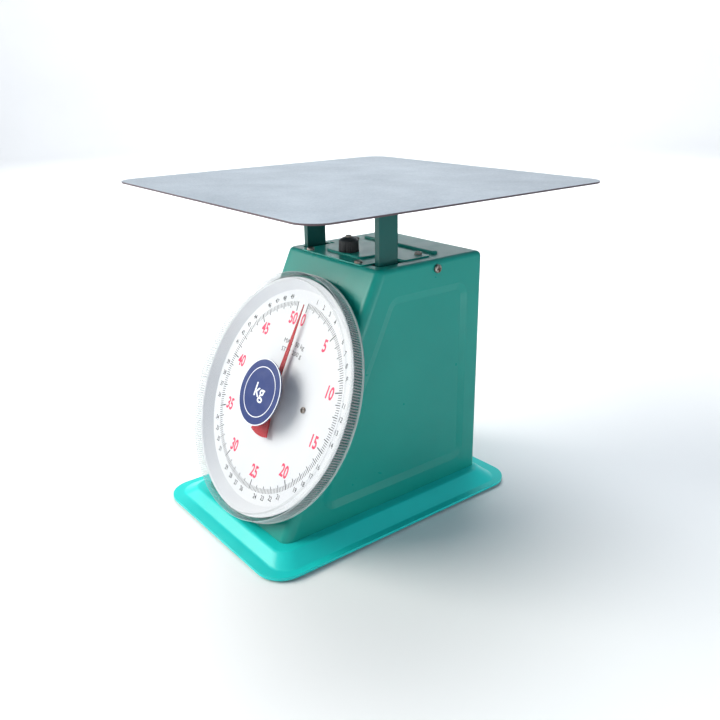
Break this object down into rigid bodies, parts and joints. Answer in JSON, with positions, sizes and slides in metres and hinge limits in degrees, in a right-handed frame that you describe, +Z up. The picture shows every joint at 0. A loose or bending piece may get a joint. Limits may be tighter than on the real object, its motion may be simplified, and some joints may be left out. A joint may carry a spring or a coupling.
{
  "type": "mechanical dial platform scale",
  "caption": "Counter platform scale: square steel platform on two posts, tapered painted body with a sloping round dial, zero knob and pressed base.",
  "frame": {"origin": "bottom centre of the box around the whole scale, on the floor under the feet, near the axis of the zero knob", "axes": "+Z up; -Y the way the dial faces; +X to the right of someone reading the dial"},
  "size_m": [0.33, 0.339, 0.3165],
  "materials": {
    "green_paint": "gloss",
    "turquoise_paint": "gloss",
    "works_paint": "satin",
    "platform_steel": "brushed",
    "zinc_steel": "zinc plated",
    "spring_steel": "oiled",
    "screw_steel": "aged plating",
    "brass": "satin",
    "dial_white": "satin enamel",
    "pointer_red": "gloss",
    "badge_blue": "gloss",
    "clear_plastic": "clear moulded",
    "black_plastic": "moulded",
    "rubber": "moulded"
  },
  "bodies": {
    "housing": {"base_nuts": "zinc_steel", "base_pan": "turquoise_paint", "base_screws": "screw_steel", "body_shell": "green_paint", "chassis_frame": "works_paint", "damper_cylinder": "works_paint", "dial_back_pan": "green_paint", "dial_lens": "clear_plastic", "dial_pan_screws": "screw_steel", "dial_plate": "dial_white", "dial_plate_screws": "screw_steel", "dial_plate_spacers": "zinc_steel", "hanger_guide_pins": "zinc_steel", "hub_badge": "badge_blue", "link_rods": "zinc_steel", "overload_stops": "rubber", "rack_guides": "brass", "rear_cover": "green_paint", "rear_cover_screws": "screw_steel", "rubber_feet": "rubber", "side_bosses": "zinc_steel", "side_screws": "screw_steel", "spindle_bushes": "brass", "top_cover_plate": "green_paint", "top_cover_screws": "screw_steel", "works_front_plate": "brass", "works_pillars": "zinc_steel", "works_rear_plate": "brass", "works_screws": "screw_steel"},
    "load_carriage": {"platform_plate": "platform_steel", "platform_rails": "works_paint", "platform_pads": "rubber", "platform_studs": "zinc_steel", "platform_nuts": "zinc_steel", "platform_crossmember": "works_paint", "post_screws": "screw_steel", "post_left": "green_paint", "post_right": "green_paint", "lower_beam": "works_paint", "beam_screws": "screw_steel", "link_pins": "zinc_steel", "drive_arm": "works_paint", "drive_pin": "zinc_steel", "damper_bracket": "works_paint", "damper_piston": "zinc_steel", "spring_left": "spring_steel", "spring_right": "spring_steel", "lower_spring_plugs": "spring_steel"},
    "rack": {"rack": "zinc_steel"},
    "pointer_assembly": {"pointer": "pointer_red", "pointer_collet": "brass", "pointer_spindle": "zinc_steel"},
    "upper_link": {"upper_link": "zinc_steel"},
    "lower_link": {"lower_link": "zinc_steel"},
    "zero_knob": {"zero_knob": "black_plastic", "zero_knob_screw": "screw_steel", "zero_screw": "zinc_steel"},
    "zero_hanger": {"zero_hanger": "zinc_steel", "upper_spring_plugs": "spring_steel"}
  },
  "joints": [
    {"name": "platform_slide", "type": "slide", "parent": "housing", "child": "load_carriage", "axis": [0, 0, -1], "range_m": [0, 0.02033], "stiffness_N_per_m": 24100, "springref_m": -0.0017, "deforming": ["spring_left", "spring_right"]},
    {"name": "rack_slide", "type": "slide", "parent": "housing", "child": "rack", "axis": [0, -0.4334, -0.9012], "range_m": [0, 0.0184]},
    {"name": "pointer_spin", "type": "hinge", "parent": "housing", "child": "pointer_assembly", "pos_m": [0, -0.0853, 0.1211], "axis": [0, 0.9012, -0.4334], "range_deg": [0, 350]},
    {"name": "upper_link_pivot", "type": "hinge", "parent": "housing", "child": "upper_link", "pos_m": [0, 0.068, 0.18983], "axis": [1, 0, 0], "range_deg": [0, 16.6]},
    {"name": "lower_link_pivot", "type": "hinge", "parent": "housing", "child": "lower_link", "pos_m": [0, 0.068, 0.06483], "axis": [1, 0, 0], "range_deg": [0, 16.6]},
    {"name": "zero_knob_turn", "type": "hinge", "parent": "housing", "child": "zero_knob", "pos_m": [0, -0.002, 0.2585], "axis": [0, 0, 1], "range_deg": [-362, 362]},
    {"name": "zero_hanger_slide", "type": "slide", "parent": "housing", "child": "zero_hanger", "axis": [0, 0, 1], "range_m": [-0.001, 0.001]}
  ],
  "couplings": [
    {"joint": "rack_slide", "follows": "platform_slide", "ratio": 0.9012},
    {"joint": "pointer_spin", "follows": "platform_slide", "rad_per_m": 300.4},
    {"joint": "upper_link_pivot", "follows": "platform_slide", "rad_per_m": 14.186},
    {"joint": "lower_link_pivot", "follows": "platform_slide", "rad_per_m": 14.186},
    {"joint": "zero_knob_turn", "follows": "zero_hanger_slide", "rad_per_m": 6283.2}
  ]
}
